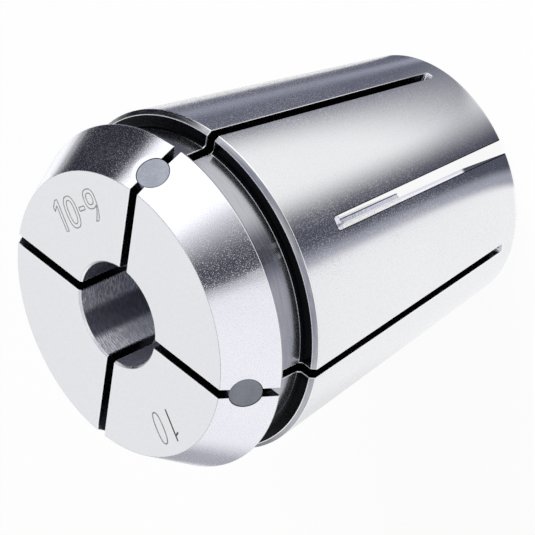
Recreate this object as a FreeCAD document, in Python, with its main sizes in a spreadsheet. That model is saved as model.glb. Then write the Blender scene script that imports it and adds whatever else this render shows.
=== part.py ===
import FreeCAD, Part
import Sketcher
import math
import os

# Slotted spring collet, 33 mm across and 40 mm long, that takes a 10 mm shank.
# It stands on its small rear face: Z runs from the rear face up to the front face.
# The body is one hardened piece with four slots from the front and four from the rear.
# A sealing plug fills a slanting hole over each front slot, from the nose cone to the bore.

doc = FreeCAD.newDocument("collet")
sheet = doc.addObject("Spreadsheet::Sheet", "Size")
vector = FreeCAD.Vector

# Sizes in millimetres and degrees. Each one is set here and nowhere else.
SIZES = [
    ("body_length", 40, "front face to rear face"),
    ("big_diameter", 33, "crest, and start of the long taper"),
    ("bore_diameter", 10, "shank bore"),
    ("bore_bevel", 0.18, "bevel at both ends of the bore"),
    ("taper_angle", 8, "slope of the long taper to the axis"),
    ("nose_angle", 30, "slope of the nose cone to the axis"),
    ("nose_length", 4.8, "front face to the crest"),
    ("crest_land", 0.25, "narrow cylinder behind the crest"),
    ("groove_depth", 1.65, "extraction groove, below the largest diameter"),
    ("groove_width", 3.9, "back of the flange to the wall of the body"),
    ("groove_corner", 0.4, "rounding in both corners of the groove"),
    ("shoulder_bevel_depth", 0.38, "bevel before the taper, across"),
    ("shoulder_bevel_length", 0.45, "bevel before the taper, along the axis"),
    ("rear_rounding", 0.6, "rounding of the rear edge"),
    ("front_slot_width", 0.93, "saw cut from the front"),
    ("rear_slot_width", 1.3, "saw cut from the rear"),
    ("front_slot_stop", 2.15, "height where a front slot leaves the taper"),
    ("rear_slot_stop", 25.05, "height where a rear slot leaves the taper"),
    ("saw_radius", 20, "slitting saw, which leaves the curved slot ends"),
    ("saw_reach", 2.5, "axis to the deepest line of the saw"),
    ("slots_each_end", 4, "number of slots from each end"),
    ("plug_diameter", 3.1, "hole for a sealing plug"),
    ("plug_setback", 2.15, "plug centre behind the front face, along the axis"),
    ("plug_past_bore", 1.1, "how far the drill runs past the bore wall"),
    ("plug_clearance", 0, "gap round a plug, none because it is moulded in place"),
    ("cutter_margin", 1.5, "how far cutting outlines reach outside the body"),
]

# Values worked out from the sizes above.
FORMULAS = [
    ("big_radius", "big_diameter / 2"),
    ("bore_radius", "bore_diameter / 2"),
    ("nose_slope", "tan(nose_angle * 1 deg)"),
    ("nose_sine", "sin(nose_angle * 1 deg)"),
    ("nose_cosine", "cos(nose_angle * 1 deg)"),
    ("taper_slope", "tan(taper_angle * 1 deg)"),
    ("face_radius", "big_radius - nose_length * nose_slope"),
    ("crest_height", "body_length - nose_length"),
    ("flange_back", "crest_height - crest_land"),
    ("groove_radius", "big_radius - groove_depth"),
    ("groove_wall", "flange_back - groove_width"),
    ("taper_top", "groove_wall - shoulder_bevel_length"),
    ("shoulder_radius", "big_radius - shoulder_bevel_depth"),
    ("rear_radius", "big_radius - taper_top * taper_slope"),
    ("slot_outer", "big_radius + cutter_margin"),
    ("saw_centre", "saw_reach + saw_radius"),
    ("front_stop_radius", "big_radius - (taper_top - front_slot_stop) * taper_slope"),
    ("rear_stop_radius", "big_radius - (taper_top - rear_slot_stop) * taper_slope"),
    ("front_saw_rise", "sqrt(saw_radius ^ 2 - (saw_centre - front_stop_radius) ^ 2)"),
    ("rear_saw_rise", "sqrt(saw_radius ^ 2 - (saw_centre - rear_stop_radius) ^ 2)"),
    ("front_saw_height", "front_slot_stop + front_saw_rise"),
    ("rear_saw_height", "rear_slot_stop - rear_saw_rise"),
    ("plug_height", "body_length - plug_setback"),
    ("plug_offset", "face_radius + plug_setback * nose_slope"),
    ("hole_radius", "plug_diameter / 2"),
    ("plug_radius", "hole_radius - plug_clearance"),
    ("hole_depth", "(plug_offset - bore_radius) / nose_cosine + plug_past_bore"),
    ("hole_start_across", "plug_offset + cutter_margin * nose_cosine"),
    ("hole_start_up", "plug_height + cutter_margin * nose_sine"),
    ("hole_end_across", "plug_offset - hole_depth * nose_cosine"),
    ("hole_end_up", "plug_height - hole_depth * nose_sine"),
    ("trim_top", "body_length + cutter_margin * 2"),
    ("trim_outer", "slot_outer + cutter_margin"),
    ("slot_step", "360 / slots_each_end"),
]

row = 0
for alias, number, note in SIZES:
    row += 1
    sheet.set("A%d" % row, alias)
    sheet.set("B%d" % row, str(number))
    sheet.set("C%d" % row, note)
    sheet.setAlias("B%d" % row, alias)
for alias, formula in FORMULAS:
    row += 1
    sheet.set("A%d" % row, alias)
    sheet.set("B%d" % row, "=" + formula)
    sheet.setAlias("B%d" % row, alias)
doc.recompute()


def size(alias):
    """Return the number that the sheet holds under an alias."""
    return float(getattr(sheet, alias))


def origin_part(body, role):
    """Return the plane or axis of the body's own origin that has this role."""
    for feature in body.Origin.OriginFeatures:
        if feature.Role == role:
            return feature
    raise RuntimeError("no " + role)


def axial_sketch(body, name, turn):
    """Add a sketch in the plane through the axis, turned about the axis by some degrees."""
    sketch = body.newObject("Sketcher::SketchObject", name)
    sketch.AttachmentSupport = [(origin_part(body, "XZ_Plane"), "")]
    sketch.MapMode = "FlatFace"
    spin = FreeCAD.Rotation(vector(0, 1, 0), turn)
    sketch.AttachmentOffset = FreeCAD.Placement(vector(0, 0, 0), spin)
    return sketch


def tie(sketch, kind, geometry, point, tag, formula):
    """Tie a point's distance from the axis or its height to a formula of the sheet."""
    rule = Sketcher.Constraint(kind, -1, 1, geometry, point, 1.0)
    number = sketch.addConstraint(rule)
    sketch.renameConstraint(number, tag)
    sketch.setExpression("Constraints." + tag, formula)


def outline(sketch, corners):
    """Draw a closed outline of straight edges through (name, across, up) corners."""
    spots = []
    for name, across, up in corners:
        x = float(sketch.evalExpression(across))
        z = float(sketch.evalExpression(up))
        spots.append(vector(x, z, 0))
    count = len(spots)
    for i in range(count):
        edge = Part.LineSegment(spots[i], spots[(i + 1) % count])
        sketch.addGeometry(edge, False)
    for i in range(count):
        sketch.addConstraint(Sketcher.Constraint("Coincident", i, 2, (i + 1) % count, 1))
    for i in range(count):
        name, across, up = corners[i]
        tie(sketch, "DistanceX", i, 1, name + "_across", across)
        tie(sketch, "DistanceY", i, 1, name + "_up", up)


def whole_turn(body, kind, name, sketch, axis):
    """Turn a sketch once round an axis, as added or as removed material."""
    feature = body.newObject(kind, name)
    feature.Profile = sketch
    feature.ReferenceAxis = (sketch, [axis])
    feature.Angle = 360
    doc.recompute()
    return feature


def round_edges(body, name, base, heights_and_radii, alias):
    """Round the full circles that lie at the given heights and radii."""
    names = []
    for number, edge in enumerate(base.Shape.Edges):
        curve = edge.Curve
        if not isinstance(curve, Part.Circle):
            continue
        for height, radius in heights_and_radii:
            level = abs(curve.Center.z - height) < 1e-4
            if level and abs(curve.Radius - radius) < 1e-4:
                names.append("Edge%d" % (number + 1))
    if len(names) != len(heights_and_radii):
        raise RuntimeError("edges for " + name)
    fillet = body.newObject("PartDesign::Fillet", name)
    fillet.Base = (base, names)
    fillet.setExpression("Radius", "Size." + alias)
    doc.recompute()
    return fillet


def around(body, name, feature):
    """Repeat a cut round the axis, once for each slot of one end."""
    pattern = body.newObject("PartDesign::PolarPattern", name)
    pattern.Originals = [feature]
    pattern.Axis = (origin_part(body, "Z_Axis"), [""])
    pattern.Angle = 360
    pattern.setExpression("Occurrences", "Size.slots_each_end")
    body.Tip = pattern
    doc.recompute()
    return pattern


def saw_slot(body, name, turn, width, mouth, end, stop_height):
    """Cut one slot: open at the mouth height, run out on the arc of the saw."""
    sketch = axial_sketch(body, name + "_outline", 0)
    sketch.setExpression("AttachmentOffset.Rotation.Angle", turn)
    sketch.setExpression("AttachmentOffset.Rotation.Axis.x", "0")
    sketch.setExpression("AttachmentOffset.Rotation.Axis.y", "1")
    sketch.setExpression("AttachmentOffset.Rotation.Axis.z", "0")
    low, outer = size("saw_reach"), size("slot_outer")
    centre = vector(size("saw_centre"), size(end), 0)
    radius = size("saw_radius")
    opening = float(sketch.evalExpression(mouth))
    rise = math.sqrt(radius ** 2 - (centre.x - outer) ** 2)
    toward = -1 if size(stop_height) < size(end) else 1
    run_out = vector(outer, centre.y + toward * rise, 0)
    angle = math.atan2(run_out.y - centre.y, run_out.x - centre.x)
    circle = Part.Circle(centre, vector(0, 0, 1), radius)
    if toward < 0:
        arc = Part.ArcOfCircle(circle, math.pi, angle + 2 * math.pi)
    else:
        arc = Part.ArcOfCircle(circle, angle, math.pi)
    sketch.addGeometry(Part.LineSegment(vector(low, opening, 0), vector(low, centre.y, 0)), False)
    sketch.addGeometry(arc, False)
    sketch.addGeometry(Part.LineSegment(run_out, vector(outer, opening, 0)), False)
    sketch.addGeometry(Part.LineSegment(vector(outer, opening, 0), vector(low, opening, 0)), False)
    join = Sketcher.Constraint
    if toward < 0:
        sketch.addConstraint(join("Coincident", 0, 2, 1, 1))
        sketch.addConstraint(join("Coincident", 1, 2, 2, 1))
    else:
        sketch.addConstraint(join("Coincident", 0, 2, 1, 2))
        sketch.addConstraint(join("Coincident", 1, 1, 2, 1))
    sketch.addConstraint(join("Coincident", 2, 2, 3, 1))
    sketch.addConstraint(join("Coincident", 3, 2, 0, 1))
    sketch.addConstraint(join("Vertical", 0))
    sketch.addConstraint(join("Vertical", 2))
    sketch.addConstraint(join("Horizontal", 3))
    tie(sketch, "DistanceX", 1, 3, "saw_centre_across", "Size.saw_centre")
    tie(sketch, "DistanceY", 1, 3, "saw_centre_up", "Size." + end)
    number = sketch.addConstraint(join("Radius", 1, radius))
    sketch.renameConstraint(number, "saw_edge")
    sketch.setExpression("Constraints.saw_edge", "Size.saw_radius")
    tie(sketch, "DistanceY", 0, 2, "saw_bottom_up", "Size." + end)
    tie(sketch, "DistanceX", 2, 1, "outside_across", "Size.slot_outer")
    tie(sketch, "DistanceY", 2, 2, "mouth_up", mouth)
    doc.recompute()
    pocket = body.newObject("PartDesign::Pocket", name)
    pocket.Profile = sketch
    pocket.Type = 0
    pocket.SideType = "Symmetric"
    pocket.setExpression("Length", "Size." + width)
    doc.recompute()
    return pocket


def plug_outline(body, name, radius):
    """Half of a plug or of its hole, with its long edge on the slanting plug axis."""
    sketch = axial_sketch(body, name, 0)
    sketch.setExpression("AttachmentOffset.Rotation.Angle", "Size.slot_step / 2")
    sketch.setExpression("AttachmentOffset.Rotation.Axis.x", "0")
    sketch.setExpression("AttachmentOffset.Rotation.Axis.y", "1")
    sketch.setExpression("AttachmentOffset.Rotation.Axis.z", "0")
    back = " - Size." + radius + " * Size.nose_sine"
    up = " + Size." + radius + " * Size.nose_cosine"
    outline(sketch, [
        ("start", "Size.hole_start_across", "Size.hole_start_up"),
        ("end", "Size.hole_end_across", "Size.hole_end_up"),
        ("end_side", "Size.hole_end_across" + back, "Size.hole_end_up" + up),
        ("start_side", "Size.hole_start_across" + back, "Size.hole_start_up" + up),
    ])
    start = vector(size("hole_start_across"), size("hole_start_up"), 0)
    end = vector(size("hole_end_across"), size("hole_end_up"), 0)
    sketch.addGeometry(Part.LineSegment(start, end), True)
    sketch.addConstraint(Sketcher.Constraint("Coincident", 4, 1, 0, 1))
    sketch.addConstraint(Sketcher.Constraint("Coincident", 4, 2, 0, 2))
    doc.recompute()
    return sketch


# Body: one turned section with the bore, nose cone, crest, groove, shoulder and long taper.
body = doc.addObject("PartDesign::Body", "collet_body")
body.Label = "collet_body"
section = axial_sketch(body, "turned_section", 0)
outline(section, [
    ("rear_bore", "Size.bore_radius", "Size.bore_bevel"),
    ("rear_bevel", "Size.bore_radius + Size.bore_bevel", "0"),
    ("rear_rim", "Size.rear_radius", "0"),
    ("taper_start", "Size.big_radius", "Size.taper_top"),
    ("shoulder", "Size.shoulder_radius", "Size.groove_wall"),
    ("groove_rear", "Size.groove_radius", "Size.groove_wall"),
    ("groove_front", "Size.groove_radius", "Size.flange_back"),
    ("flange_rim", "Size.big_radius", "Size.flange_back"),
    ("crest", "Size.big_radius", "Size.crest_height"),
    ("face_rim", "Size.face_radius", "Size.body_length"),
    ("front_bevel", "Size.bore_radius + Size.bore_bevel", "Size.body_length"),
    ("front_bore", "Size.bore_radius", "Size.body_length - Size.bore_bevel"),
])
doc.recompute()
turned = whole_turn(body, "PartDesign::Revolution", "turned_blank", section, "V_Axis")
groove_circles = [
    (size("groove_wall"), size("groove_radius")),
    (size("flange_back"), size("groove_radius")),
]
grooved = round_edges(body, "groove_corners", turned, groove_circles, "groove_corner")
rear_circle = [(0.0, size("rear_radius"))]
blank = round_edges(body, "rear_edge", grooved, rear_circle, "rear_rounding")

# Plug holes first, at right angles to the nose cone, then the slots that cross them.
hole_sketch = plug_outline(body, "plug_hole_outline", "hole_radius")
hole = whole_turn(body, "PartDesign::Groove", "plug_hole", hole_sketch, "Axis0")
holes = around(body, "plug_holes", hole)
front_slot = saw_slot(
    body, "front_slot", "Size.slot_step / 2", "front_slot_width",
    "Size.body_length", "front_saw_height", "front_slot_stop")
front_slots = around(body, "front_slots", front_slot)
rear_slot = saw_slot(
    body, "rear_slot", "0", "rear_slot_width",
    "0", "rear_saw_height", "rear_slot_stop")
rear_slots = around(body, "rear_slots", rear_slot)


def sealing_plug(number):
    """One plug: a slanting cylinder, trimmed flush with the nose cone and with the bore."""
    name = "sealing_plug_%d" % number
    plug = doc.addObject("PartDesign::Body", name)
    plug.Label = name
    rod_sketch = plug_outline(plug, name + "_outline", "plug_radius")
    whole_turn(plug, "PartDesign::Revolution", name + "_rod", rod_sketch, "Axis0")
    outside = axial_sketch(plug, name + "_outside", 0)
    outline(outside, [
        ("cone_top", "Size.face_radius", "Size.body_length"),
        ("cone_foot", "Size.big_radius", "Size.crest_height"),
        ("outer_foot", "Size.trim_outer", "Size.crest_height"),
        ("outer_top", "Size.trim_outer", "Size.trim_top"),
        ("inner_top", "Size.face_radius", "Size.trim_top"),
    ])
    doc.recompute()
    whole_turn(plug, "PartDesign::Groove", name + "_flush_nose", outside, "V_Axis")
    inside = axial_sketch(plug, name + "_inside", 0)
    outline(inside, [
        ("axis_low", "0", "0"),
        ("bore_low", "Size.bore_radius", "0"),
        ("bore_high", "Size.bore_radius", "Size.body_length"),
        ("axis_high", "0", "Size.body_length"),
    ])
    doc.recompute()
    whole_turn(plug, "PartDesign::Groove", name + "_flush_bore", inside, "V_Axis")
    plug.setExpression("Placement.Rotation.Axis.x", "0")
    plug.setExpression("Placement.Rotation.Axis.y", "0")
    plug.setExpression("Placement.Rotation.Axis.z", "1")
    plug.setExpression("Placement.Rotation.Angle", "Size.slot_step * %d" % (number - 1))
    doc.recompute()
    return plug


pieces = [body] + [sealing_plug(number) for number in (1, 2, 3, 4)]
doc.recompute()

for item in doc.Objects:
    if "Invalid" in item.State or "Error" in item.State:
        raise RuntimeError("%s: %s" % (item.Name, item.State))
for piece in pieces:
    if piece.Shape.isNull() or not piece.Shape.isValid() or len(piece.Shape.Solids) != 1:
        raise RuntimeError("bad shape: " + piece.Label)

os.makedirs("parts", exist_ok=True)
for piece in pieces:
    piece.Shape.exportStep("parts/%s.step" % piece.Label)
    box = piece.Shape.BoundBox
    print("%s volume %.2f x %.2f %.2f y %.2f %.2f z %.2f %.2f" % (
        piece.Label, piece.Shape.Volume,
        box.XMin, box.XMax, box.YMin, box.YMax, box.ZMin, box.ZMax))
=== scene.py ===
import math
import bmesh
import bpy
import numpy as np
from mathutils import Matrix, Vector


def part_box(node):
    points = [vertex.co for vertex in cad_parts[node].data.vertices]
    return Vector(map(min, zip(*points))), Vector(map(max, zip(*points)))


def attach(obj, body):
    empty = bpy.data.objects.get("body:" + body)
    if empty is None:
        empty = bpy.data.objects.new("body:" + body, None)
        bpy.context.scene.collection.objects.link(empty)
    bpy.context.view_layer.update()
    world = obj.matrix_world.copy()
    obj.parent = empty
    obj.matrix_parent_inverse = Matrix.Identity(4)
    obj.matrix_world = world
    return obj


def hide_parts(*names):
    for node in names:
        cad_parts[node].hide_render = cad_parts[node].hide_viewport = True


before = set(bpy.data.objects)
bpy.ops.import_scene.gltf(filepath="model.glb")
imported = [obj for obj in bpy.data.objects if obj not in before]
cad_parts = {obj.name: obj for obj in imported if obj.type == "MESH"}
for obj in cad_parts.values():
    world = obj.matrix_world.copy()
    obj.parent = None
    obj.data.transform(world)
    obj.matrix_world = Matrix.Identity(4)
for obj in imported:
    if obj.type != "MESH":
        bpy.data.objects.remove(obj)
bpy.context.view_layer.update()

# Slotted spring collet for a 10 mm shank, standing on its small rear face.
# Sizes are millimetres and degrees, as in the CAD model, and meshes are written in metres.
MM = 0.001
body_low, body_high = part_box("collet_body")
BIG_RADIUS = round((body_high.x - body_low.x) / MM, 3) / 2
LENGTH = round(body_high.z / MM, 3)
BORE_RADIUS = 5.0
BORE_BEVEL = 0.18
TAPER_ANGLE = math.radians(8)
NOSE_ANGLE = math.radians(30)
NOSE_LENGTH = 4.8
CREST_LAND = 0.25
GROOVE_DEPTH = 1.65
GROOVE_WIDTH = 3.9
GROOVE_CORNER = 0.4
SHOULDER_DEPTH = 0.38
SHOULDER_LENGTH = 0.45
REAR_ROUNDING = 0.6
FRONT_SLOT_HALF = 0.93 / 2
REAR_SLOT_HALF = 1.3 / 2
FRONT_SLOT_STOP = 2.15
REAR_SLOT_STOP = 25.05
SAW_RADIUS = 20.0
SAW_REACH = 2.5
PLUG_RADIUS = 1.55
PLUG_SETBACK = 2.15

# Azimuth of the first front slot, whose plug is the first. The first rear slot is at 0.
FRONT_AT = 45
QUARTER = 90

# Heights and radii that follow from the sizes.
CREST_HEIGHT = LENGTH - NOSE_LENGTH
FLANGE_BACK = CREST_HEIGHT - CREST_LAND
GROOVE_RADIUS = BIG_RADIUS - GROOVE_DEPTH
GROOVE_WALL = FLANGE_BACK - GROOVE_WIDTH
TAPER_TOP = GROOVE_WALL - SHOULDER_LENGTH
SHOULDER_RADIUS = BIG_RADIUS - SHOULDER_DEPTH
REAR_RADIUS = BIG_RADIUS - TAPER_TOP * math.tan(TAPER_ANGLE)
FACE_RADIUS = BIG_RADIUS - NOSE_LENGTH * math.tan(NOSE_ANGLE)
SAW_CENTRE = SAW_REACH + SAW_RADIUS
PLUG_ACROSS = FACE_RADIUS + PLUG_SETBACK * math.tan(NOSE_ANGLE)
PLUG_UP = LENGTH - PLUG_SETBACK
PLUG_AXIS = np.array([math.cos(NOSE_ANGLE), 0, math.sin(NOSE_ANGLE)])

# Roundings and broken edges, after the depth that leaves room for the marks inside the CAD box.
MARK_ROOM = 0.006
EDGE = 0.07
TAPER_EDGE = 0.14
CREST_EDGE = 0.14
GROOVE_EDGE = 0.10
SLOT_EDGE = 0.10
HOLE_EDGE = 0.035
CREST_BACK = 0.15
BLADE_CORNER = 0.25

# Steps of the mesh: along a rounded corner, over a broken edge, from a slot's middle to its wall, along a
# saw floor, between two slots and round half a plug hole, and rounds of the two solutions by repetition.
ARC_STEPS = 5
EDGE_STEPS = 3
ACROSS_STEPS = 6
SAW_STEPS = 22
SECTOR_COLUMNS = 14
HOLE_STEPS = 26
TAPER_ROUNDS = 6
NOSE_ROUNDS = 5

# Distance in mm between plain rows, and how near they come to a plug hole and to a row that has to be there.
ROW_SPACING = 1.6
HOLE_MARGIN = 0.3
ROW_MARGIN = 0.45


def unit(vectors):
    """Each vector divided by its length."""
    return vectors / np.linalg.norm(vectors, axis=-1, keepdims=True)


def section_corners():
    """Corners of the turned section as (radius, height, rounding), from the rear bore edge on."""
    face = LENGTH - MARK_ROOM
    return np.array([
        (BORE_RADIUS, BORE_BEVEL, EDGE),
        (BORE_RADIUS + BORE_BEVEL, 0.0, EDGE),
        (REAR_RADIUS, 0.0, REAR_ROUNDING),
        (BIG_RADIUS, TAPER_TOP, TAPER_EDGE),
        (SHOULDER_RADIUS, GROOVE_WALL, GROOVE_EDGE),
        (GROOVE_RADIUS, GROOVE_WALL, GROOVE_CORNER),
        (GROOVE_RADIUS, FLANGE_BACK, GROOVE_CORNER),
        (BIG_RADIUS, FLANGE_BACK, CREST_BACK),
        (BIG_RADIUS, CREST_HEIGHT, CREST_EDGE),
        (FACE_RADIUS, face, EDGE),
        (BORE_RADIUS + BORE_BEVEL, face, EDGE),
        (BORE_RADIUS, face - BORE_BEVEL, EDGE),
    ])


# Zones of the section, by the corner that each straight run starts from.
REAR_BEVEL, REAR_FACE, TAPER, SHOULDER, GROOVE_REAR, GROOVE_FLOOR = range(6)
GROOVE_FRONT, LAND, CONE, FACE, FRONT_BEVEL, BORE = range(6, 12)


def rounded_section(corners, steps):
    """Every corner becomes an arc that touches both of its edges.

    The arc's centre is one rounding away from the start point, on the inner side of the turn,
    and its points turn about that centre by equal shares of the corner's angle.
    Returns points and outward normals, one row of steps + 1 for each corner.
    """
    spot, rounding = corners[:, :2], corners[:, 2:]
    before = unit(spot - np.roll(spot, 1, axis=0))
    after = unit(np.roll(spot, -1, axis=0) - spot)
    cross = before[:, 0] * after[:, 1] - before[:, 1] * after[:, 0]
    turn = np.arctan2(cross, np.sum(before * after, axis=1))[:, None]
    start = spot - before * rounding * np.tan(np.abs(turn) / 2)
    left = np.stack([-before[:, 1], before[:, 0]], axis=1)
    centre = start + left * rounding * np.sign(turn)
    angle = turn * np.linspace(0, 1, steps + 1)
    arm = start - centre
    cosine, sine = np.cos(angle), np.sin(angle)
    across = centre[:, :1] + arm[:, :1] * cosine - arm[:, 1:] * sine
    up = centre[:, 1:] + arm[:, :1] * sine + arm[:, 1:] * cosine
    normal_across = before[:, 1:] * cosine + before[:, :1] * sine
    normal_up = before[:, 1:] * sine - before[:, :1] * cosine
    return np.stack([across, up], axis=2), np.stack([normal_across, normal_up], axis=2)


def taper_radius(height):
    """Radius of the long taper at a height."""
    return BIG_RADIUS - (TAPER_TOP - height) * math.tan(TAPER_ANGLE)


class Saw:
    """One kind of slot: its half width, the height of the saw's centre, and whether it opens upward."""

    def __init__(self, half, stop, upward):
        self.half = half
        self.side = -1.0 if upward else 1.0
        reach = SAW_CENTRE - taper_radius(stop)
        self.centre = stop - self.side * math.sqrt(SAW_RADIUS ** 2 - reach ** 2)
        flat = half - BLADE_CORNER
        share = np.linspace(0, 1, ACROSS_STEPS - 1)
        self.turn = np.concatenate([[0.0], share * math.pi / 2])
        self.across = np.concatenate([[0.0], flat + BLADE_CORNER * np.sin(share * math.pi / 2)])
        self.radius = SAW_RADIUS - BLADE_CORNER * (1 - np.cos(self.turn))

    def end_on_taper(self):
        """Height where the saw leaves the taper, for each place across, by circle and cone in turn."""
        height = np.full_like(self.across, self.centre)
        for _ in range(TAPER_ROUNDS):
            depth = np.sqrt(taper_radius(height) ** 2 - self.across ** 2)
            height = self.centre + self.side * np.sqrt(self.radius ** 2 - (SAW_CENTRE - depth) ** 2)
        return height

    def end_on_bore(self):
        """Height where the saw leaves the bore, for each place across."""
        depth = np.sqrt(BORE_RADIUS ** 2 - self.across ** 2)
        return self.centre + self.side * np.sqrt(self.radius ** 2 - (SAW_CENTRE - depth) ** 2)


front_saw = Saw(FRONT_SLOT_HALF, FRONT_SLOT_STOP, True)
rear_saw = Saw(REAR_SLOT_HALF, REAR_SLOT_STOP, False)


def on_nose(along, across):
    """Point of the nose cone straight above (along, across) in the plane square to the plug axis.

    Repeated steps slide the point along the plug axis until it lies as far out as the cone does there.
    """
    slide = np.zeros_like(along + across)
    sine, cosine = math.sin(NOSE_ANGLE), math.cos(NOSE_ANGLE)
    for _ in range(NOSE_ROUNDS):
        out = PLUG_ACROSS + along * sine + slide * cosine
        up = PLUG_UP - along * cosine + slide * sine
        cone = FACE_RADIUS + (LENGTH - up) * math.tan(NOSE_ANGLE)
        slide = slide - (np.hypot(out, across) - cone) * cosine
    out = PLUG_ACROSS + along * sine + slide * cosine
    up = PLUG_UP - along * cosine + slide * sine
    return np.stack([out, across + 0 * out, up], axis=-1)


def on_bore(along, across):
    """Point of the bore on the same line along the plug axis."""
    out = np.sqrt(BORE_RADIUS ** 2 - across ** 2)
    sine, cosine = math.sin(NOSE_ANGLE), math.cos(NOSE_ANGLE)
    slide = (out - PLUG_ACROSS - along * sine) / cosine
    up = PLUG_UP - along * cosine + slide * sine
    return np.stack([out, across + 0 * out, up + 0 * out], axis=-1)


def hole_rim(radius, flat):
    """Points (along, across) of a circle, from the line across = flat round to the same line opposite."""
    start = math.asin(flat / radius)
    angle = np.linspace(math.pi - start, start, HOLE_STEPS + 1)
    return radius * np.cos(angle), radius * np.sin(angle)


def section_rows():
    """All rows of the turned skin in order: corners, slot ends, plug hole outlines and plain rows."""
    points, normals = rounded_section(section_corners(), ARC_STEPS)
    count = len(points)
    flat_points, flat_normals = points.reshape(-1, 2), normals.reshape(-1, 2)
    closed = np.vstack([flat_points, flat_points[:1]])
    closed_normals = np.vstack([flat_normals, flat_normals[:1]])
    length = np.concatenate([[0], np.cumsum(np.linalg.norm(np.diff(closed, axis=0), axis=1))])
    run_start = length[ARC_STEPS::ARC_STEPS + 1][:count]
    run_stop = np.append(length[ARC_STEPS + 1::ARC_STEPS + 1], length[-1])[:count]

    def at_height(run, height):
        low = closed[run * (ARC_STEPS + 1) + ARC_STEPS, 1]
        high = closed[(run + 1) * (ARC_STEPS + 1), 1]
        share = (np.asarray(height, dtype=float) - low) / (high - low)
        return run_start[run] + share * (run_stop[run] - run_start[run])

    along, across = hole_rim(PLUG_RADIUS, FRONT_SLOT_HALF)
    fixed = {
        "front_taper": at_height(TAPER, front_saw.end_on_taper()[-1]),
        "rear_taper": at_height(TAPER, rear_saw.end_on_taper()[-1]),
        "front_bore": at_height(BORE, front_saw.end_on_bore()[-1]),
        "rear_bore": at_height(BORE, rear_saw.end_on_bore()[-1]),
    }
    nose_hole = at_height(CONE, on_nose(along, across)[:, 2])
    bore_hole = at_height(BORE, on_bore(along, across)[:, 2])
    near = np.concatenate([nose_hole, bore_hole, list(fixed.values())])
    spaced = []
    for run in range(count):
        number = max(1, int(round((run_stop[run] - run_start[run]) / ROW_SPACING)))
        spaced.append(np.linspace(run_start[run], run_stop[run], number + 1)[1:-1])
    spaced = np.concatenate(spaced)
    crowded = np.min(np.abs(spaced[:, None] - near[None, :]), axis=1) < ROW_MARGIN
    for hole in (nose_hole, bore_hole):
        crowded |= (spaced > hole.min() - HOLE_MARGIN) & (spaced < hole.max() + HOLE_MARGIN)
    place = np.sort(np.concatenate([length[:-1], near, spaced[~crowded]]))
    row = {
        "radius": np.interp(place, length, closed[:, 0]),
        "height": np.interp(place, length, closed[:, 1]),
        "normal": unit(np.stack([
            np.interp(place, length, closed_normals[:, 0]),
            np.interp(place, length, closed_normals[:, 1])], axis=1)),
        "nose_hole": np.searchsorted(place, nose_hole),
        "bore_hole": np.searchsorted(place, bore_hole),
    }
    middle = (place + np.append(place[1:], length[-1])) / 2
    zone = np.searchsorted(run_start - 1e-9, middle) - 1
    in_arc = middle > run_stop[np.clip(zone, 0, count - 1)]
    row["zone"] = np.where(in_arc, zone + 1, zone) % count
    row["arc"] = in_arc | (zone < 0)
    arc_start, arc_stop = run_stop[zone], run_start[row["zone"]]
    row["share"] = (middle - arc_start) / (arc_stop - arc_start)
    for name, spot in fixed.items():
        row[name] = int(np.searchsorted(place, spot))
    return row


ROWS = section_rows()
ROW_COUNT = len(ROWS["radius"])


def run_of_rows(first, last):
    """Row numbers from first to last, going round past the end of the section where needed."""
    return np.arange(first, last + 1 if last >= first else last + 1 + ROW_COUNT) % ROW_COUNT


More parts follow.
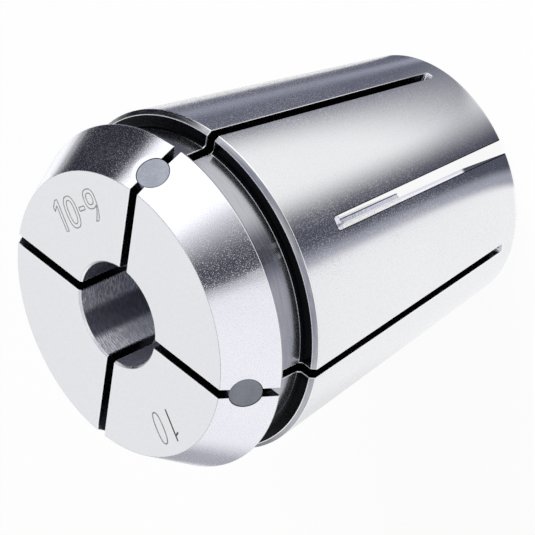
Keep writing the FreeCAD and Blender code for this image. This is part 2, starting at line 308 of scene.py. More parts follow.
def slot_edge(saw, taper_row, bore_row, holed):
    """Half of a slot's edge, from the middle of one saw end along both skins to the middle of the other end.

    Three lines follow it: the edge itself, the line on the skin where its rounding starts, and the line
    on the slot's wall or floor where the rounding ends. Coordinates are out, across and up.
    """
    first, last = (taper_row, bore_row) if saw.side < 0 else (bore_row, taper_row)
    rows = run_of_rows(first, last)
    radius, height, normal = ROWS["radius"][rows], ROWS["height"][rows], ROWS["normal"][rows]
    half = np.full(len(rows), saw.half)
    rim = np.full(len(rows), SLOT_EDGE)

    def skin(across, r, z):
        return np.stack([np.sqrt(r ** 2 - across ** 2), across, z], axis=-1)

    edge = skin(half, radius, height)
    on_skin = skin(half + rim, radius, height)
    inner = edge - np.stack([normal[:, 0], 0 * half, normal[:, 1]], axis=1) * SLOT_EDGE
    if holed:
        along, across = hole_rim(PLUG_RADIUS, saw.half)
        wide_along, wide_across = hole_rim(PLUG_RADIUS + HOLE_EDGE, saw.half + HOLE_EDGE)
        for place, side, surface in ((ROWS["nose_hole"], -1, on_nose), (ROWS["bore_hole"], 1, on_bore)):
            spot = np.searchsorted(rows, place)
            edge[spot] = surface(along, across)
            on_skin[spot] = surface(wide_along, wide_across)
            inner[spot] = edge[spot] + PLUG_AXIS * side * HOLE_EDGE

    def saw_end(skin_radius, z):
        e = skin(saw.across, skin_radius(z), z)
        wide = saw.across + SLOT_EDGE * np.sin(saw.turn)
        z_skin = z + saw.side * SLOT_EDGE * np.cos(saw.turn)
        s = skin(wide, skin_radius(z_skin), z_skin)
        return e, s

    def on_floor(e, shift):
        turn = np.arccos((SAW_CENTRE - e[:, 0]) / saw.radius) + shift / saw.radius
        return np.stack([
            SAW_CENTRE - saw.radius * np.cos(turn), e[:, 1],
            saw.centre + saw.side * saw.radius * np.sin(turn)], axis=1), turn

    taper_edge, taper_skin = saw_end(taper_radius, saw.end_on_taper())
    bore_edge, bore_skin = saw_end(lambda z: BORE_RADIUS + 0 * z, saw.end_on_bore())
    taper_floor, taper_turn = on_floor(taper_edge, -SLOT_EDGE)
    bore_floor, bore_turn = on_floor(bore_edge, SLOT_EDGE)
    ends = [(taper_edge, taper_skin, taper_floor), (bore_edge, bore_skin, bore_floor)]
    if saw.side > 0:
        ends.reverse()
    lines = []
    for number, line in enumerate((edge, on_skin, inner)):
        start, stop = ends[0][number], ends[1][number]
        lines.append(np.vstack([start, line[1:-1], stop[::-1]]))
    share = np.linspace(0, 1, SAW_STEPS + 1)[:, None]
    turn = taper_turn * (1 - share) + bore_turn * share
    floor = np.stack([
        SAW_CENTRE - saw.radius * np.cos(turn), saw.across + 0 * turn,
        saw.centre + saw.side * saw.radius * np.sin(turn)], axis=-1)
    return {"rows": rows, "edge": lines[0], "skin": lines[1], "inner": lines[2], "floor": floor}


FRONT = slot_edge(front_saw, ROWS["front_taper"], ROWS["front_bore"], True)
REAR = slot_edge(rear_saw, ROWS["rear_taper"], ROWS["rear_bore"], False)


# Points nearer than the first distance in mm are joined, and edges under the second one taken out.
# Edges that turn by more than the angle are drawn sharp.
JOIN = 0.0008
SLIVER = 0.0004
SHARP_FROM = math.radians(32)


class Patches:
    """Grids and flat faces gathered as numpy arrays, each with the number of its material."""

    def __init__(self):
        self.points, self.faces, self.finish, self.count = [], [], [], 0

    def grid(self, points, finish):
        """Quads of a grid of points. The finish is one number, or one for each step along the first side."""
        rows, columns = points.shape[:2]
        number = self.count + np.arange(rows * columns).reshape(rows, columns)
        quads = np.stack([number[:-1, :-1], number[1:, :-1], number[1:, 1:], number[:-1, 1:]], axis=-1)
        self.faces += quads.reshape(-1, 4).tolist()
        self.finish.append(np.repeat(np.broadcast_to(finish, rows - 1), columns - 1))
        self.points.append(points.reshape(-1, 3))
        self.count += rows * columns

    def flat(self, points, finish):
        """One flat face through a loop of points."""
        self.faces.append((self.count + np.arange(len(points))).tolist())
        self.finish.append(np.array([finish]))
        self.points.append(points)
        self.count += len(points)

    def mesh(self, name):
        """Write the patches as one mesh, in metres, with shared edges joined and faces pointing outward."""
        made = bpy.data.meshes.new(name)
        made.from_pydata(np.concatenate(self.points) * MM, [], self.faces)
        made.polygons.foreach_set("material_index", np.concatenate(self.finish).astype(np.int32))
        shell = bmesh.new()
        shell.from_mesh(made)
        bmesh.ops.remove_doubles(shell, verts=shell.verts, dist=JOIN * MM)
        bmesh.ops.dissolve_degenerate(shell, edges=shell.edges, dist=SLIVER * MM)
        bmesh.ops.recalc_face_normals(shell, faces=shell.faces)
        shell.to_mesh(made)
        shell.free()
        made.polygons.foreach_set("use_smooth", np.ones(len(made.polygons), dtype=bool))
        made.set_sharp_from_angle(angle=SHARP_FROM)
        made.update()
        return made


def turned(points, degrees, mirror=False):
    """Points mirrored across the plane through the axis and the slot, then turned about the axis."""
    flip = -1 if mirror else 1
    cosine, sine = math.cos(math.radians(degrees)), math.sin(math.radians(degrees))
    x, y, z = points[..., 0], points[..., 1] * flip, points[..., 2]
    return np.stack([x * cosine - y * sine, x * sine + y * cosine, z], axis=-1)


def rounding_between(cell_skin, cell_edge, cell_inner):
    """Rows of a quadratic curve from the skin line to the inner line, with the edge as its control point."""
    t = np.linspace(0, 1, EDGE_STEPS + 1)[:, None, None]
    return (1 - t) ** 2 * cell_skin + 2 * t * (1 - t) * cell_edge + t ** 2 * cell_inner


# Finishes of the body, as numbers of its material slots.
GROUND_TAPER, GROUND_NOSE, FACED_FRONT, HONED_BORE, TURNED_GROOVE = range(5)
SHADED_FRONT_SLOT, SAWN_REAR, BROKEN_EDGE, GROOVE_SHADE, SHOULDER_BEVEL = range(5, 10)
DULL_EDGE, SAWN_WALL, DARK_SLOT_EDGE = range(10, 13)
ZONE_FINISH = np.full(12, BROKEN_EDGE)
ZONE_FINISH[[REAR_FACE, FACE]] = FACED_FRONT
ZONE_FINISH[TAPER] = GROUND_TAPER
ZONE_FINISH[CONE] = GROUND_NOSE
ZONE_FINISH[BORE] = HONED_BORE
ZONE_FINISH[[GROOVE_FLOOR, GROOVE_FRONT, LAND]] = TURNED_GROOVE
# The groove's rear wall takes a near-black colour: painted shade, where the groove lies in shade behind the
# flange.
ZONE_FINISH[GROOVE_REAR] = GROOVE_SHADE
ZONE_FINISH[SHOULDER] = SHOULDER_BEVEL
ZONE_FINISH[REAR_BEVEL] = DULL_EDGE
# The rounded corner before each zone. Between the groove's floor and its walls the finish is the groove's.
CORNER_FINISH = np.full(12, BROKEN_EDGE)
CORNER_FINISH[[GROOVE_FLOOR, GROOVE_FRONT, LAND]] = TURNED_GROOVE
CORNER_FINISH[[FACE, FRONT_BEVEL, BORE]] = DULL_EDGE
# Share of the rounded corner at the groove's rear wall that keeps the wall's near-black colour, painted shade
# deep in the groove.
SHADE_SHARE = 0.8
# Steps of a front saw floor, counted from the taper, that keep the bright sawn colour; the deeper steps and
# the front slot walls take a near-black painted shade.
LIT_STEPS = 2


def between_ends(line):
    """The part of a slot's line between its two saw ends."""
    return line[ACROSS_STEPS - 1:len(line) - ACROSS_STEPS + 1]


def half_strip(slot, saw):
    """The skin over one half of a slot's width, where the slot doesn't reach: rows by places across."""
    rows = run_of_rows(slot["rows"][-1], slot["rows"][0])
    wide = saw.across + SLOT_EDGE * np.sin(saw.turn)
    radius, height = ROWS["radius"][rows][:, None], ROWS["height"][rows][:, None]
    strip = np.stack([np.sqrt(radius ** 2 - wide ** 2), wide + 0 * radius, height + 0 * wide], axis=-1)
    strip[0] = slot["skin"][-ACROSS_STEPS:][::-1]
    strip[-1] = slot["skin"][:ACROSS_STEPS]
    return rows, strip


def skin_line(slot, saw):
    """For every row of the section, the point where the skin meets one slot's rounding or its half strip."""
    radius, height = ROWS["radius"], ROWS["height"]
    wide = saw.half + SLOT_EDGE
    line = np.stack([np.sqrt(radius ** 2 - wide ** 2), wide + 0 * radius, height], axis=-1)
    line[slot["rows"]] = between_ends(slot["skin"])
    return line


def edge_finish(slot, front):
    """Finish of each step along a slot's rounded edge: dark at a rear slot and round the plug holes."""
    finish = np.full(len(slot["edge"]) - 1, BROKEN_EDGE if front else DARK_SLOT_EDGE)
    if front:
        for hole in ("nose_hole", "bore_hole"):
            step = np.searchsorted(slot["rows"], ROWS[hole]) + ACROSS_STEPS - 1
            finish[step.min():step.max()] = DARK_SLOT_EDGE
    return finish


def body_cell(patches, degrees, mirror):
    """One eighth of the body, from the middle of a rear slot to the middle of a front slot.

    The skin is a grid of section rows by equal steps of angle between the two slots. Near a plug hole
    its rows bend towards the hole's rim, by a share that falls with the cube of the distance.
    """
    finish = np.where(ROWS["arc"], CORNER_FINISH[ROWS["zone"]], ZONE_FINISH[ROWS["zone"]])
    by_the_wall = ROWS["arc"] & (ROWS["zone"] == GROOVE_FLOOR) & (ROWS["share"] < SHADE_SHARE)
    finish = np.where(by_the_wall, GROOVE_SHADE, finish)

    def place(points, front=False):
        """Points brought from a slot's own frame to the cell's place."""
        if front:
            points = turned(points, FRONT_AT, mirror=True)
        return turned(points, degrees, mirror)

    rear_line = skin_line(REAR, rear_saw)
    front_line = turned(skin_line(FRONT, front_saw), FRONT_AT, mirror=True)
    share = np.linspace(0, 1, SECTOR_COLUMNS + 1)
    rear_angle = np.arctan2(rear_line[:, 1], rear_line[:, 0])[:, None]
    front_angle = np.arctan2(front_line[:, 1], front_line[:, 0])[:, None]
    angle = rear_angle + (front_angle - rear_angle) * share
    bend = share ** 3
    front_radius = np.hypot(front_line[:, 0], front_line[:, 1])[:, None]
    radius = ROWS["radius"][:, None] + (front_radius - ROWS["radius"][:, None]) * bend
    height = ROWS["height"][:, None] + (front_line[:, 2:] - ROWS["height"][:, None]) * bend
    skin = np.stack([radius * np.cos(angle), radius * np.sin(angle), height + 0 * angle], axis=-1)
    skin = np.concatenate([skin, skin[:1]])
    patches.grid(place(skin), finish)
    for slot, saw, front in ((FRONT, front_saw, True), (REAR, rear_saw, False)):
        rows, strip = half_strip(slot, saw)
        patches.grid(place(strip, front), finish[rows[:-1]])
        rounding = rounding_between(slot["skin"], slot["edge"], slot["inner"])
        patches.grid(place(np.swapaxes(rounding, 0, 1), front), edge_finish(slot, front))
        # Past the first steps the front saw floor takes the painted shade of the deep, narrow slot.
        unshaded_steps = (np.arange(len(slot["floor"]) - 1) < LIT_STEPS) | (not front)
        patches.grid(place(slot["floor"], front), np.where(unshaded_steps, SAWN_REAR, SHADED_FRONT_SLOT))

    rear_wall, front_wall = between_ends(REAR["inner"]), between_ends(FRONT["inner"])
    patches.flat(place(np.vstack([rear_wall, REAR["floor"][1:-1, -1]])), SAWN_WALL)
    nose = np.searchsorted(FRONT["rows"], ROWS["nose_hole"])
    bore = np.searchsorted(FRONT["rows"], ROWS["bore_hole"])
    above_hole = front_wall[nose[0]:bore[0] + 1]
    below_hole = np.vstack([front_wall[:nose[-1] + 1], front_wall[bore[-1]:], FRONT["floor"][::-1][1:-1, -1]])
    patches.flat(place(above_hole, True), SHADED_FRONT_SLOT)
    patches.flat(place(below_hole, True), SHADED_FRONT_SLOT)
    patches.grid(place(np.stack([front_wall[nose], front_wall[bore]]), True), SHADED_FRONT_SLOT)


def collet_body():
    """The whole body: eight cells, four of them mirrored, turned about the axis."""
    patches = Patches()
    for quarter in range(4):
        for mirror in (False, True):
            body_cell(patches, QUARTER * quarter, mirror)
    return patches.mesh("collet_body_mesh")


PLUG_EDGE = 0.06
PLUG_GAP = 0.03
PLUG_SINK = 0.015
PLUG_RINGS = 7
PLUG_BENDS = 4
PLUG_TURNS = 56


def sealing_plug(name, degrees):
    """A slanting rod whose two ends follow the nose cone and the bore.

    Its section is a line from the middle of one end to the edge, a quarter circle over the edge, the rod's
    side, and the same backwards at the other end. Each point of it is carried round the plug axis, measured
    down along that axis from the surface that the end follows.
    """
    outer = PLUG_RADIUS - PLUG_GAP
    ring = np.linspace(0, outer - PLUG_EDGE, PLUG_RINGS)
    bend = np.linspace(0, math.pi / 2, PLUG_BENDS + 1)[1:]
    distance = np.concatenate([ring, outer - PLUG_EDGE + PLUG_EDGE * np.sin(bend)])
    depth = np.concatenate([0 * ring, PLUG_EDGE * (1 - np.cos(bend))]) + PLUG_SINK
    turn = np.linspace(0, 2 * math.pi, PLUG_TURNS + 1)
    along, across = distance[:, None] * np.cos(turn), distance[:, None] * np.sin(turn)
    nose_end = on_nose(along, across) - PLUG_AXIS * depth[:, None, None]
    bore_end = on_bore(along, across) + PLUG_AXIS * depth[:, None, None]
    patches = Patches()
    patches.grid(turned(np.concatenate([nose_end, bore_end[::-1]]), degrees), 0)
    return patches.mesh(name)


def piece(name, mesh, node, materials):
    """Put a mesh in the scene as a piece that stands for a CAD node."""
    made = bpy.data.objects.new(name, mesh)
    bpy.context.scene.collection.objects.link(made)
    for material in materials:
        mesh.materials.append(material)
    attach(made, "root")
    if node:
        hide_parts(node)
    return made


# Marks in mm: line widths, distances of the two lines of figures from the axis, height of the figures,
# depth into the face and room left below the CAD face, and their turn in degrees.
UPPER_LINE = 0.11
LOWER_LINE = 0.15
UPPER_AT = 10.1
LOWER_AT = 11.0
MARK_HEIGHT = 3.05
MARK_DEPTH = 0.004
MARK_BELOW = 0.001
MARK_TURN = -1.56


def oval(width, height, middle=0.0, power=2.5, start=0.0, stop=360.0, steps=64):
    """Curve |x / a| ** p + |y / b| ** p = 1 between two angles, as points."""
    turn = np.radians(np.linspace(start, stop, steps, endpoint=False))
    cosine, sine = np.cos(turn), np.sin(turn)
    x = width / 2 * np.sign(cosine) * np.abs(cosine) ** (2 / power)
    y = middle + height / 2 * np.sign(sine) * np.abs(sine) ** (2 / power)
    return np.stack([x, y], axis=1)


def straight(corners, spacing=0.12):
    """Closed outline through corners, with points at equal steps along each side."""
    corners = np.array(corners)
    sides = []
    for start, stop in zip(corners, np.roll(corners, -1, axis=0)):
        steps = max(2, int(np.linalg.norm(stop - start) / spacing))
        share = np.linspace(0, 1, steps, endpoint=False)[:, None]
        sides.append(start + (stop - start) * share)
    return np.concatenate(sides)


def bent(start, pull, stop, steps=16):
    """Quadratic curve from start to stop, drawn towards the point pull."""
    t = np.linspace(0, 1, steps, endpoint=False)[:, None]
    return (1 - t) ** 2 * np.array(start) + 2 * t * (1 - t) * np.array(pull) + t ** 2 * np.array(stop)


HALF = MARK_HEIGHT / 2


def zero_outlines():
    """Outer and inner oval of a 0."""
    return [oval(1.75, MARK_HEIGHT), oval(0.95, MARK_HEIGHT - 0.8)]


def one_outlines():
    """A 1 with a slanting flag."""
    stem = 0.36
    return [straight([
        (stem / 2, -HALF), (stem / 2, HALF), (-stem / 2, HALF), (-0.72, HALF - 0.55),
        (-0.72, HALF - 0.98), (-stem / 2, HALF - 0.52), (-stem / 2, -HALF)])]


def dash_outlines():
    """A short dash."""
    return [straight([(-0.42, -0.18), (0.42, -0.18), (0.42, 0.18), (-0.42, 0.18)])]


def nine_outlines():
    """A 9: an oval bowl whose right side runs down into a bent tail, and the bowl's inner oval."""
    middle = HALF - 0.93
    bowl = oval(1.66, 1.86, middle, stop=320.0)
    inner_end, outer_end = (-0.25, -HALF), (0.15, -HALF)
    tail = bent(bowl[-1], (0.5, -0.7), inner_end)
    back = bent(outer_end, (0.83, -0.75), (0.83, middle))
    foot = np.linspace(inner_end, outer_end, 5, endpoint=False)
    return [np.concatenate([bowl, tail[1:], foot, back]), oval(0.9, 1.08, middle)]


def thin_one():
    """A 1 drawn as one thin stroke with a small flag at its top."""
    stem = 0.05
    return [straight([
        (stem / 2, -HALF), (stem / 2, HALF), (-stem / 2, HALF), (-stem / 2, HALF - 0.45),
        (-0.48, HALF - 0.70), (-0.48, HALF - 0.76), (-stem / 2, HALF - 0.52), (-stem / 2, -HALF)])]


def thin_zero():
    """A narrow 0 drawn as one thin line."""
    return [oval(1.06, MARK_HEIGHT)]


def mark_ribbon(patches, path, place, degrees, width):
    """A closed path as a thin flat band: moved half the width to each side, and given a small depth."""
    along = np.roll(path, -1, axis=0) - np.roll(path, 1, axis=0)
    side = unit(np.stack([along[:, 1], -along[:, 0]], axis=1)) * width / 2
    top, low = LENGTH - MARK_BELOW, LENGTH - MARK_ROOM - MARK_DEPTH
    rings = []
    for sign, height in ((1, top), (-1, top), (-1, low), (1, low), (1, top)):
        spot = path + side * sign + place
        rings.append(np.column_stack([spot, np.full(len(spot), height)]))
    band = np.stack(rings, axis=1)
    patches.grid(turned(np.concatenate([band, band[:1]]), degrees), 0)


def face_marks():
    """Thin outlined figures on the front face: the clamping range on one side, the bore size on the other."""
    patches = Patches()
    upper = ((one_outlines, -2.1), (zero_outlines, -0.4), (dash_outlines, 1.25), (nine_outlines, 2.85))
    lower = ((thin_one, -1.52), (thin_zero, 0.33))
    marks = ((upper, UPPER_AT, 0, UPPER_LINE), (lower, LOWER_AT, 180, LOWER_LINE))
    for glyphs, line, degrees, width in marks:
        for outlines, across in glyphs:
            for path in outlines():
                mark_ribbon(patches, path, np.array([across, line]), degrees + MARK_TURN, width)
    return patches.mesh("face_marks_mesh")


def add_node(tree, kind, **settings):
    """A new node with some of its properties set."""
    made = tree.nodes.new(kind)
    for key, value in settings.items():
        setattr(made, key, value)
    return made


def feed(tree, socket, value):
    """Link an output to a socket, or set the socket's own value."""
    if isinstance(value, bpy.types.NodeSocket):
        tree.links.new(value, socket)
    else:
        socket.default_value = value


def calculate(tree, operation, first, second=0.0):
    """One arithmetic step."""
    made = add_node(tree, "ShaderNodeMath", operation=operation)
    feed(tree, made.inputs[0], first)
    feed(tree, made.inputs[1], second)
    return made.outputs[0]


def soft_step(tree, value, low, high, start=0.0, stop=1.0):
    """A smooth rise from start at low to stop at high, level outside."""
    made = add_node(tree, "ShaderNodeMapRange", interpolation_type="SMOOTHSTEP")
    for number, given in enumerate((value, low, high, start, stop)):
        feed(tree, made.inputs[number], given)
    return made.outputs[0]


def blend_colour(tree, share, first, second):
    """Colour between two colours, by a share from 0 to 1."""
    made = add_node(tree, "ShaderNodeMix", data_type="RGBA")
    feed(tree, made.inputs["Factor"], share)
    feed(tree, made.inputs[6], first)
    feed(tree, made.inputs[7], second)
    return made.outputs[2]


def grey(level, blue=0.0):
    """A grey, with some blue added."""
    return (level, level * (1 + blue * 0.12), level * (1 + blue), 1.0)


def new_material(name, roughness, metallic=1.0):
    """A material, its node tree and its shader, with the shader's constants set."""
    material = bpy.data.materials.new(name)
    material.use_nodes = True
    shader = material.node_tree.nodes["Principled BSDF"]
    shader.inputs["Metallic"].default_value = metallic
    shader.inputs["Roughness"].default_value = roughness
    return material, material.node_tree, shader


def object_noise(tree, size, detail=2.0, stretch=(1.0, 1.0, 1.0)):
    """Noise whose features have a size in mm. A stretch below 1 draws them out along that axis."""
    place = add_node(tree, "ShaderNodeMapping")
    place.inputs["Scale"].default_value = stretch
    tree.links.new(add_node(tree, "ShaderNodeTexCoord").outputs["Object"], place.inputs["Vector"])
    noise = add_node(tree, "ShaderNodeTexNoise")
    noise.inputs["Scale"].default_value = 1 / (size * MM)
    noise.inputs["Detail"].default_value = detail
    tree.links.new(place.outputs["Vector"], noise.inputs["Vector"])
    return noise.outputs[0]


def place_on_object(tree):
    """x, y and z of the place in the object's own frame, in metres."""
    split = add_node(tree, "ShaderNodeSeparateXYZ")
    tree.links.new(add_node(tree, "ShaderNodeTexCoord").outputs["Object"], split.inputs[0])
    return split.outputs[:]


def raise_grain(tree, shader, height, depth):
    """Bump of a depth in mm, from 0 to 1 of a pattern."""
    bump = add_node(tree, "ShaderNodeBump")
    bump.inputs["Distance"].default_value = depth * MM
    tree.links.new(height, bump.inputs["Height"])
    tree.links.new(bump.outputs["Normal"], shader.inputs["Normal"])


def distance_out(tree, x, y):
    """Distance from the axis."""
    squares = [calculate(tree, "MULTIPLY", value, value) for value in (x, y)]
    return calculate(tree, "SQRT", calculate(tree, "ADD", *squares))


# Where the bore keeps its brighter colour, as a cosine of twice the azimuth, how far it reaches to each side,
# and the heights in mm between which the painted dark reflection beyond it sets in.
BRIGHT_MIDDLE = 0.40
BRIGHT_REACH = 0.38, 0.54
DARK_ABOVE = 24.0, 30.0


def painted_bore_reflection(tree):
    """Share that is 0 beside the front slots, on the jaws at 0 and 180 degrees, and 1 elsewhere in front.

    The squares of x and y, taken from one another and divided by their sum, give the cosine of twice the
    azimuth. Where the share is 1 the bore takes a painted dark reflection.
    """
    x, y, z = place_on_object(tree)
    x2, y2 = calculate(tree, "MULTIPLY", x, x), calculate(tree, "MULTIPLY", y, y)
    wave = calculate(tree, "DIVIDE", calculate(tree, "SUBTRACT", x2, y2), calculate(tree, "ADD", x2, y2))
    off = calculate(tree, "ABSOLUTE", calculate(tree, "SUBTRACT", wave, BRIGHT_MIDDLE))
    front = soft_step(tree, z, DARK_ABOVE[0] * MM, DARK_ABOVE[1] * MM)
    return calculate(tree, "MULTIPLY", soft_step(tree, off, *BRIGHT_REACH), front)


# Radii in mm between which a sawn wall turns from its dark inner part, painted shade deep in the slot, to its
# bright sawn colour.
INNER_SHADE_FROM, INNER_SHADE_TO = 8.0, 11.0
# Levels between which most of a noise lies, width of a speck's soft rim as a part of them, and the size in mm
# and the strength of the wide noise.
NOISE_RANGE = 0.35, 0.65
SPECK_RIM = 0.14
UNEVEN_SIZE = 5.0
UNEVEN = 0.03


def steel(name, specked, ground, smooth, matt, grain, depth, specks=0.5, stretch=(1.0, 1.0, 1.0),
          blue=0.04, inner=None, jaws=None, metallic=1.0):
    """Steel as a stone or a tool leaves it: a smooth ground with small matt specks.

    A fine noise, with grains of a size in mm, is cut at a level into specks. They take the matt roughness
    and the brighter grey, the ground between them the smooth one and the darker grey. The same noise gives
    the bump, and a wider noise makes the whole finish slightly uneven. With an inner grey, the metal turns
    to it towards the collet's axis, as painted shade deep in the slots. With a jaws grey it turns to that
    grey away from the front slots, as a painted dark reflection in the bore.
    """
    material, tree, shader = new_material(name, smooth, metallic)
    fine = object_noise(tree, grain, 1.0, stretch)
    uneven = soft_step(tree, object_noise(tree, UNEVEN_SIZE), *NOISE_RANGE, -UNEVEN, UNEVEN)
    level = calculate(tree, "ADD", fine, uneven)
    roughness = soft_step(tree, level, specks, specks + SPECK_RIM, smooth, matt)
    tree.links.new(roughness, shader.inputs["Roughness"])
    share = soft_step(tree, level, *NOISE_RANGE)
    colour = blend_colour(tree, share, grey(ground, blue), grey(specked, blue / 2))
    if inner is not None:
        # Painted shade: darker towards the axis, deep inside the slots.
        out = distance_out(tree, *place_on_object(tree)[:2])
        share = soft_step(tree, out, INNER_SHADE_FROM * MM, INNER_SHADE_TO * MM)
        colour = blend_colour(tree, share, grey(inner, 0.4), colour)
    if jaws is not None:
        # Painted dark reflection: the jaws grey on the bore near the front, away from the front slots.
        colour = blend_colour(tree, painted_bore_reflection(tree), colour, grey(jaws, 0.3))
    tree.links.new(colour, shader.inputs["Base Color"])
    raise_grain(tree, shader, fine, depth)
    return material


def sealing_compound():
    """Grey moulded compound with a fine grain and slightly uneven gloss."""
    material, tree, shader = new_material("sealing_compound", 0.42, metallic=0.0)
    fine = object_noise(tree, 0.2)
    cloudy = object_noise(tree, 1.2, stretch=(1.0, 0.4, 1.0))
    share = soft_step(tree, calculate(tree, "ADD", fine, cloudy), 0.75, 1.25)
    colour = blend_colour(tree, share, (0.222, 0.239, 0.285, 1), (0.28, 0.299, 0.348, 1))
    tree.links.new(colour, shader.inputs["Base Color"])
    tree.links.new(soft_step(tree, fine, 0.3, 0.7, 0.36, 0.5), shader.inputs["Roughness"])
    raise_grain(tree, shader, fine, 0.006)
    return material


def etched_grey():
    """Dull grey of the marks, a little broken up as etched lines are."""
    material, tree, shader = new_material("etched_grey", 0.6, metallic=0.0)
    share = soft_step(tree, object_noise(tree, 0.3), 0.3, 0.7)
    tree.links.new(blend_colour(tree, share, grey(0.14), grey(0.32)), shader.inputs["Base Color"])
    roughness = soft_step(tree, object_noise(tree, 0.1), 0.3, 0.7, 0.5, 0.7)
    tree.links.new(roughness, shader.inputs["Roughness"])
    return material


# The body's materials, in the order of its finishes: name, greys of specks and ground, roughnesses of ground
# and specks, size of the grain and depth of the bump in mm, and the level at which specks start.
STEELS = [
    steel("ground_taper", 0.92, 0.85, 0.16, 0.33, 0.14, 0.0014, 0.50),
    steel("ground_nose", 0.96, 0.82, 0.15, 0.40, 0.085, 0.0035, 0.56, blue=0.12),
    steel("faced_front", 0.90, 0.87, 0.40, 0.47, 0.3, 0.0005),
    # The bore's jaws grey is a painted dark reflection near the front.
    steel("honed_bore", 1.0, 0.82, 0.25, 0.60, 0.12, 0.014, stretch=(0.2, 0.2, 1.0), blue=0.18, jaws=0.17,
          metallic=0.65),
    steel("turned_groove", 0.55, 0.50, 0.20, 0.23, 0.25, 0.0001, stretch=(0.1, 0.1, 1.0), blue=0.12),
    # Near-black painted shade for the inside of the narrow front slots.
    steel("sawn_front_painted_shade", 0.08, 0.03, 0.25, 0.40, 0.2, 0.003, blue=0.5),
    steel("sawn_rear", 0.95, 0.85, 0.20, 0.40, 0.3, 0.002),
    steel("broken_edge", 1.0, 0.97, 0.24, 0.34, 0.3, 0.0005),
    # Near-black painted shade for the groove's rear wall and the corner beside it.
    steel("painted_groove_shade", 0.006, 0.003, 0.25, 0.40, 0.2, 0.001, blue=0.6),
    steel("shoulder_bevel", 0.48, 0.40, 0.16, 0.26, 0.15, 0.001, stretch=(0.1, 0.1, 1.0), blue=0.14),
    steel("dull_edge", 0.75, 0.60, 0.20, 0.35, 0.2, 0.0005),
    # The rear slot walls darken towards the axis: painted shade deep in the slots.
    steel("sawn_wall", 0.95, 0.88, 0.06, 0.16, 0.3, 0.0003, inner=0.04, blue=0.0),
    # Near-black colour on the rear slots' rounded edges and on the front slots' edges round the plug holes.
    steel("dark_slot_edge", 0.12, 0.08, 0.30, 0.45, 0.2, 0.0005),
]
body = piece("ground_body", collet_body(), "collet_body", STEELS)
weighted = body.modifiers.new("even_normals", "WEIGHTED_NORMAL")
weighted.keep_sharp = True
weighted.weight = 100

compound = sealing_compound()
for number in (1, 2, 3, 4):
    node = "sealing_plug_%d" % number
    plug_mesh = sealing_plug(node + "_mesh", QUARTER * (number - 1) + FRONT_AT)
    piece("flush_plug_%d" % number, plug_mesh, node, [compound])
piece("face_marks", face_marks(), None, [etched_grey()])

# Studio: white all round, with soft cards that only the metal's reflections show. Each card has a first and
# a last azimuth and a first and a last elevation in degrees, each with its softness, and a colour.
WHITE_SURROUND = grey(0.93)
PLAIN_LIGHT = grey(0.48)
CARDS = {
    "bright_card": ((34, 7), (92, 3), (-95, 1), (30, 6), grey(1.22)),
    "dim_left": ((-125, 25), (-12, 12), (30, 8), (72, 8), grey(0.60, 0.1)),
    "dim_right": ((30, 10), (150, 10), (33, 6), (72, 8), grey(0.50, 0.2)),
    "dark_side": ((95, 4), (150, 11), (-95, 1), (26, 8), grey(0.03, 0.4)),
    "bright_behind": ((156, 3), (174, 6), (-95, 1), (26, 8), grey(1.1)),
    "grey_behind": ((176, 6), (200, 1), (-95, 1), (15, 8), grey(0.40, 0.1)),
    "grey_behind_left": ((-200, 1), (-133, 11), (-95, 1), (15, 8), grey(0.40, 0.1)),
    "dark_front": ((-11, 5), (23, 19), (6, 4), (40, 7), grey(0.05, 0.4)),
}


def between(tree, value, first, last):
    """1 between two values and 0 outside, with a soft change at each. A value comes with its softness."""
    rise = soft_step(tree, value, first[0] - first[1], first[0] + first[1])
    fall = soft_step(tree, value, last[0] - last[1], last[0] + last[1], 1.0, 0.0)
    return calculate(tree, "MULTIPLY", rise, fall)


def in_degrees(tree, operation, first, second=0.0):
    """An angle worked out by one arithmetic step, in degrees."""
    return calculate(tree, "MULTIPLY", calculate(tree, operation, first, second), 180 / math.pi)


def studio_world():
    """White to the camera, plain grey light on dull surfaces, and the cards in the metal."""
    made = bpy.data.worlds.new("studio")
    made.use_nodes = True
    made.cycles.sampling_method = "NONE"
    tree = made.node_tree
    direction = add_node(tree, "ShaderNodeSeparateXYZ")
    tree.links.new(add_node(tree, "ShaderNodeTexCoord").outputs["Generated"], direction.inputs[0])
    x, y, z = direction.outputs
    azimuth, elevation = in_degrees(tree, "ARCTAN2", y, x), in_degrees(tree, "ARCSINE", z)
    cards = WHITE_SURROUND
    for first, last, low, high, card in CARDS.values():
        sides, ends = between(tree, azimuth, first, last), between(tree, elevation, low, high)
        cards = blend_colour(tree, calculate(tree, "MULTIPLY", sides, ends), cards, card)
    path = add_node(tree, "ShaderNodeLightPath")
    colour = blend_colour(tree, path.outputs["Is Glossy Ray"], PLAIN_LIGHT, cards)
    colour = blend_colour(tree, path.outputs["Is Camera Ray"], colour, grey(1.0))
    tree.links.new(colour, tree.nodes["Background"].inputs["Color"])
    return made


def flat_disc(name, radius, height, steps=96):
    """A disc: a ring of points at equal angles, and one face."""
    turn = np.linspace(0, 2 * math.pi, steps, endpoint=False)
    points = np.stack([radius * np.cos(turn), radius * np.sin(turn), np.full(steps, height)], axis=1)
    mesh = bpy.data.meshes.new(name)
    mesh.from_pydata(points * MM, [], [list(range(steps))])
    made = bpy.data.objects.new(name, mesh)
    bpy.context.scene.collection.objects.link(made)
    return made


def stage_material(name):
    """A material with nothing but its output, which lights nothing as a lamp would."""
    material = bpy.data.materials.new(name)
    material.use_nodes = True
    material.node_tree.nodes.remove(material.node_tree.nodes["Principled BSDF"])
    material.cycles.emission_sampling = "NONE"
    return material, material.node_tree


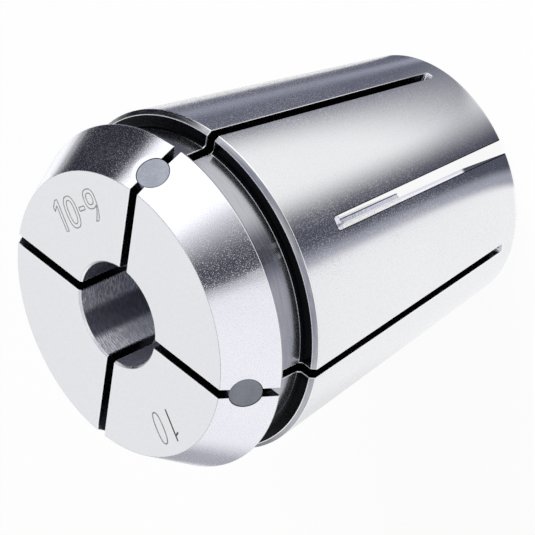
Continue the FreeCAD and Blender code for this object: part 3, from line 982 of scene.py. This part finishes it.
# The floor and the disc of cards, radius and height in mm. The rest of the floor's share is shaded.
FLOOR_SIZE = 2000, -0.02
CARDS_SIZE = 78, -0.01
PLAIN_WHITE_SHARE = 0.93


def pale_floor():
    """A plain pale floor: mostly plain white to the camera, with a small shaded share for a faint shadow."""
    floor = flat_disc("floor", *FLOOR_SIZE)
    floor.visible_glossy = False
    material, tree = stage_material("pale_floor")
    matt = add_node(tree, "ShaderNodeBsdfDiffuse")
    matt.inputs["Color"].default_value = grey(0.92)
    white = add_node(tree, "ShaderNodeEmission")
    white.inputs["Color"].default_value = grey(1.0)
    white.inputs["Strength"].default_value = 1.0
    mixed = add_node(tree, "ShaderNodeMixShader")
    to_camera = add_node(tree, "ShaderNodeLightPath").outputs["Is Camera Ray"]
    tree.links.new(calculate(tree, "MULTIPLY", to_camera, PLAIN_WHITE_SHARE), mixed.inputs[0])
    tree.links.new(matt.outputs[0], mixed.inputs[1])
    tree.links.new(white.outputs[0], mixed.inputs[2])
    tree.links.new(mixed.outputs[0], tree.nodes["Material Output"].inputs["Surface"])
    floor.data.materials.append(material)


# The point, in mm, from which the edges of the sheet beside the collet spread.
SIDE_SHEET = (7.7, 8.3)


def card_on_floor():
    """Cards round the collet's foot, seen only in the metal: a dark fan in front, and grey sheets."""
    table = flat_disc("cards_on_floor", *CARDS_SIZE)
    table.visible_camera = table.visible_diffuse = table.visible_shadow = table.visible_transmission = False
    material, tree = stage_material("cards_on_floor")
    x, y = [calculate(tree, "MULTIPLY", value, 1 / MM) for value in place_on_object(tree)[:2]]
    out, azimuth = distance_out(tree, x, y), in_degrees(tree, "ARCTAN2", y, x)
    from_x, from_y = [calculate(tree, "SUBTRACT", value, start) for value, start in zip((x, y), SIDE_SHEET)]
    beside = in_degrees(tree, "ARCTAN2", from_y, from_x)

    def both(first, second):
        return calculate(tree, "MULTIPLY", first, second)

    behind = both(soft_step(tree, x, -25, -5, 1.0, 0.0), soft_step(tree, y, -6, 2, 1.0, 0.0))
    colour = blend_colour(tree, behind, grey(0.95), grey(0.80))
    far = both(soft_step(tree, out, 42, 52), between(tree, azimuth, (-90, 15), (-15, 2)))
    colour = blend_colour(tree, far, colour, grey(0.52, 0.1))
    sheet = blend_colour(tree, between(tree, beside, (120, 6), (131, 4)), grey(0.13, 0.38), grey(0.34, 0.25))
    side = both(soft_step(tree, x, 5, 22, 1.0, 0.0), between(tree, beside, (-40, 25), (146, 1.0)))
    colour = blend_colour(tree, side, colour, sheet)
    colour = blend_colour(tree, between(tree, azimuth, (-18.5, 2.5), (0, 1)), colour, grey(0.36, 0.2))
    colour = blend_colour(tree, between(tree, azimuth, (-11.5, 2.5), (15.5, 11.5)), colour, grey(0.08, 0.40))
    under_bore = soft_step(tree, out, BORE_RADIUS, 5.6, 1.0, 0.0)
    colour = blend_colour(tree, under_bore, colour, grey(0.9, 0.1))
    glow = add_node(tree, "ShaderNodeEmission")
    tree.links.new(colour, glow.inputs["Color"])
    tree.links.new(glow.outputs[0], tree.nodes["Material Output"].inputs["Surface"])
    table.data.materials.append(material)


# The lamp's width in metres, its power in watts and its place.
KEY_WIDTH = 0.3
KEY_POWER = 1.6
KEY_PLACE = (0.16, 0.30, 0.26)


def soft_key():
    """One large soft lamp from the side of the upper plug. It is kept out of the metal's reflections."""
    lamp = bpy.data.lights.new("soft_key", "AREA")
    lamp.size = KEY_WIDTH
    lamp.energy = KEY_POWER
    made = bpy.data.objects.new("soft_key", lamp)
    bpy.context.scene.collection.objects.link(made)
    made.location = KEY_PLACE
    made.rotation_euler = (-made.location).to_track_quat("-Z", "Y").to_euler()
    made.visible_glossy = False


# Camera at the photograph's viewing angle. The first three columns of its matrix are its right, up and back
# directions, and the last is its place in metres.
camera_data = bpy.data.cameras.new("camera")
camera_data.sensor_width = 36.0
camera_data.lens = 253.309
camera_data.clip_start = 0.01
camera_data.clip_end = 20.0
camera = bpy.data.objects.new("camera", camera_data)
bpy.context.scene.collection.objects.link(camera)
camera.matrix_world = Matrix((
    (0.571774, 0.206256, 0.794061, 0.2781994),
    (-0.38762, 0.920956, 0.039893, 0.0122158),
    (-0.723067, -0.330604, 0.606527, 0.2346099),
    (0, 0, 0, 1),
))
bpy.context.scene.camera = camera
bpy.context.scene.view_settings.view_transform = "Standard"

bpy.context.scene.world = studio_world()
pale_floor()
card_on_floor()
soft_key()
